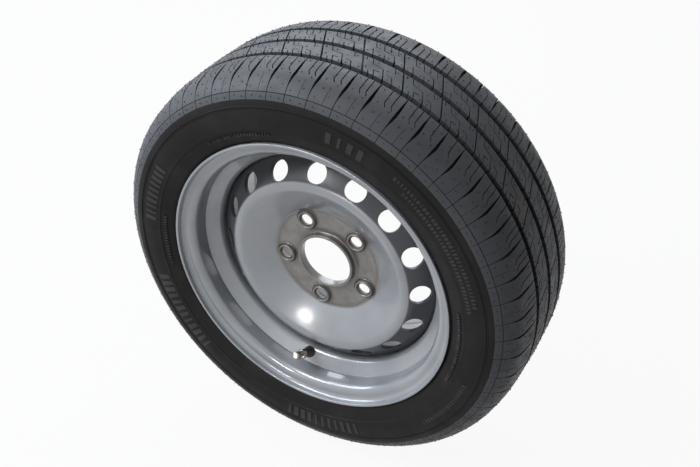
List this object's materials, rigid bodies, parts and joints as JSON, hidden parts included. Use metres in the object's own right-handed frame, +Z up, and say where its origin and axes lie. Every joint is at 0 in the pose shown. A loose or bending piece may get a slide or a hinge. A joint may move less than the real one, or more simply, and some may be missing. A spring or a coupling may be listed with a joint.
{
  "type": "trailer wheel",
  "caption": "Trailer wheel: a low-profile radial tyre on a pressed steel wheel with a vented disc, a raised centre bore and a tyre valve with a screw cap.",
  "frame": {"origin": "centre of the wheel: on its axis, half way between the two bead seats", "axes": "+Y along the axis towards the hub (inboard), -Y outboard, +Z up with the wheel upright, valve near the bottom"},
  "size_m": [0.5238, 0.1892, 0.5238],
  "materials": {
    "tyre_rubber": "matt moulded rubber",
    "silver_paint": "glossy silver-grey wheel paint",
    "valve_rubber": "smooth black rubber",
    "nickel_plate": "nickel plate, slightly tarnished",
    "brass": "turned brass",
    "spring_steel": "bright drawn wire",
    "white_seal": "smooth white sealing plastic",
    "black_seal": "smooth black rubber"
  },
  "bodies": {
    "wheel": {"tyre": "tyre_rubber", "rim": "silver_paint", "disc": "silver_paint", "disc_welds": "silver_paint", "valve_rubber": "valve_rubber", "valve_stem": "nickel_plate", "valve_collar": "nickel_plate", "core_plug": "brass", "core_barrel": "brass", "core_gasket": "white_seal", "core_spring": "spring_steel"},
    "valve_pin": {"core_pin": "brass", "core_cup": "brass", "core_seal": "black_seal"},
    "cap_thread": {"valve_cap_seal": "black_seal"},
    "cap": {"valve_cap": "nickel_plate"}
  },
  "joints": [
    {"name": "pin_press", "type": "slide", "parent": "wheel", "child": "valve_pin", "axis": [-0.0795, 0.8209, -0.5655], "range_m": [0, 0.0009], "stiffness_N_per_m": 1500, "springref_m": -0.0008, "deforming": ["core_spring"]},
    {"name": "cap_lift", "type": "slide", "parent": "wheel", "child": "cap_thread", "axis": [0.0795, -0.8209, 0.5655], "range_m": [0, 0.00635]},
    {"name": "cap_turn", "type": "hinge", "parent": "cap_thread", "child": "cap", "pos_m": [-0.01725, -0.08625, -0.12273], "axis": [0.0795, -0.8209, 0.5655], "range_deg": [0, 2880]}
  ],
  "couplings": [
    {"joint": "cap_turn", "follows": "cap_lift", "rad_per_m": 7913.4}
  ]
}
